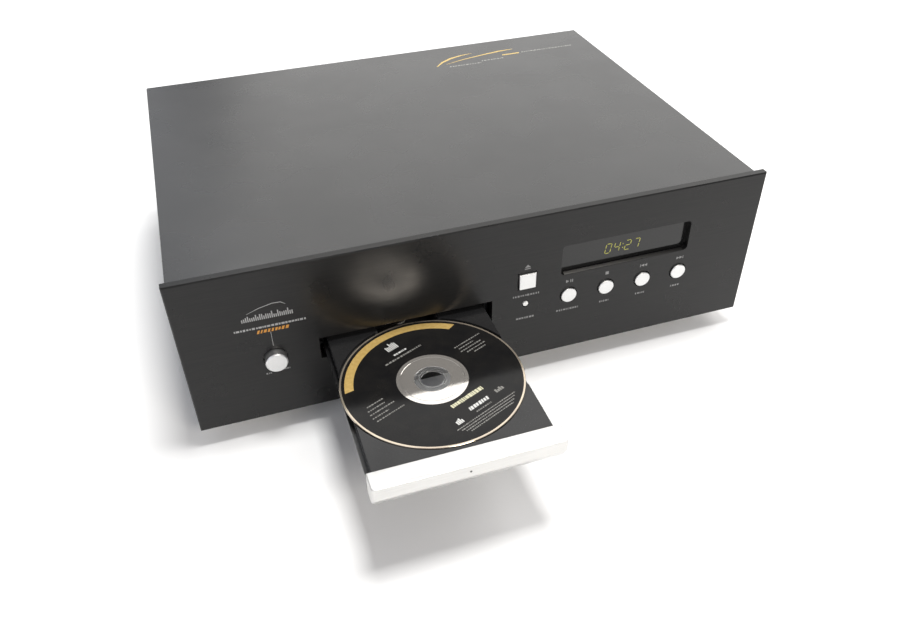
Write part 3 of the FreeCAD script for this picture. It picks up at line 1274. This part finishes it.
def valve_pins(x):
    """The ring of pins under a valve, with one place left out."""
    pins = []
    for number in range(int(d.pin_count.value)):
        angle = 2 * math.pi * number / (d.pin_count.value + 1)
        foot = (x + d.pin_circle * math.cos(angle), d.valve_y + d.pin_circle * math.sin(angle),
                d.socket_cup - d.pin_depth)
        pins.append(rod(d.pin_radius, foot, d.valve_seat - d.socket_cup + d.pin_depth))
    return pins


def valve_sockets():
    sockets = []
    for x in valve_spots():
        ring = rod(d.socket_outer, (x, d.valve_y, pcb_top), d.valve_seat - pcb_top)
        cup = rod(d.socket_bore, (x, d.valve_y, d.socket_cup), d.valve_seat - d.socket_cup)
        sockets.append(cut(ring, cup, *valve_pins(x)))
    return settle("valve_sockets", group(*sockets))


def valves():
    for side, x in zip(("left", "right"), valve_spots()):
        radius = d.valve_radius
        crown = [(radius * wide, d.valve_top - radius * down) for wide, down in VALVE_CROWN]
        profile = [(0, d.valve_seat), (d.socket_bore, d.valve_seat), (radius, d.valve_seat + d.valve_flare),
                   *crown, (d.valve_tip, d.valve_top), (0, d.valve_top + d.valve_nib)]
        bulb = place(turned(f"valve_{side}", profile), x, d.valve_y, 0)
        settle(f"valve_{side}", fuse(bulb, *valve_pins(x)))


# ---- rear sockets ----

def jack_spots():
    return {
        "left_output_jack": (d.jack_x, d.jack_high),
        "right_output_jack": (d.jack_x, d.jack_low),
        "digital_output_jack": (d.digital_x, d.digital_z),
    }


def output_jacks():
    """Phono sockets, drawn along their own axis with Z out of the rear panel."""
    inner = -d.sheet_thick
    nut = inner - d.jack_nut_thick
    floor = d.jack_out - d.jack_bore_depth
    profile = [(0, -d.jack_tail_length), (d.jack_tail, -d.jack_tail_length), (d.jack_tail, nut),
               (d.jack_nut, nut), (d.jack_nut, inner), (d.jack_bush, inner), (d.jack_bush, 0),
               (d.jack_flange, 0), (d.jack_flange, d.jack_flange_thick),
               (d.jack_radius, d.jack_flange_thick), (d.jack_radius, d.jack_out),
               (d.jack_bore, d.jack_out), (d.jack_bore, floor), (0, floor)]
    for name, (x, z) in jack_spots().items():
        settle(name, turned(name, profile), x, d.case_depth, z, FACING_REAR)


def power_inlet():
    """Three-pin mains inlet: flange, case, open cavity and its blades."""
    flange_rear = d.case_depth + d.inlet_flange_thick
    case = block(centred(d.inlet_x, d.inlet_width), (d.case_depth - d.inlet_depth, d.case_depth),
                 centred(d.inlet_z, d.inlet_height))
    flange = block(centred(d.inlet_x, d.inlet_flange_width), (d.case_depth, flange_rear),
                   centred(d.inlet_z, d.inlet_flange_height))
    cavity_floor = flange_rear - d.cavity_depth
    cavity = block(centred(d.inlet_x, d.cavity_width), (cavity_floor, flange_rear),
                   centred(d.inlet_z, d.cavity_height))
    blades = []
    for x, z in ((-d.blade_spread, d.blade_rise), (d.blade_spread, d.blade_rise),
                 (size(0), d.blade_drop)):
        blades.append(block(centred(d.inlet_x + x, d.blade_width),
                            (cavity_floor, cavity_floor + d.blade_length),
                            centred(d.inlet_z + z, d.blade_height)))
    return settle("power_inlet", fuse(cut(fuse(case, flange), cavity), *blades))


def build():
    for make in (front_panel, top_cover, bottom_pan, rear_panel, feet, foot_pads, foot_screws,
                 case_screws, control_bracket, transport_buttons,
                 power_button, open_close_button, button_switches, control_board, display_window,
                 display_module, remote_lens, remote_sensor, power_switch, disc_tray, tray_front,
                 disc, tray_gear, motor_pulley, loading_motor, drive_belt, loader_frame,
                 loader_grommets, clamp_bridge, clamp_puck, base_unit, guide_rods, spindle_motor,
                 turntable, laser_sled, objective_lens, sled_motor, sled_gear, lift_cam, boards,
                 board_standoffs, transformer, transformer_clamp, capacitors, heat_sink,
                 signal_chips, valve_sockets, valves, output_jacks, power_inlet):
        make()
    doc.recompute()


def check():
    """Stop before anything is written if an object failed or a shape is broken."""
    for thing in doc.Objects:
        if "Invalid" in thing.State or "Error" in thing.State:
            raise RuntimeError(f"{thing.Label} failed: {thing.State}")
    for piece in pieces:
        if piece.Shape.isNull() or not piece.Shape.isValid():
            raise RuntimeError(f"{piece.Label} has no valid shape")


def write():
    os.makedirs("parts", exist_ok=True)
    for piece in pieces:
        piece.Shape.exportStep(f"parts/{piece.Label}.step")
    print(len(pieces), "sub-parts written")


build()
check()
write()
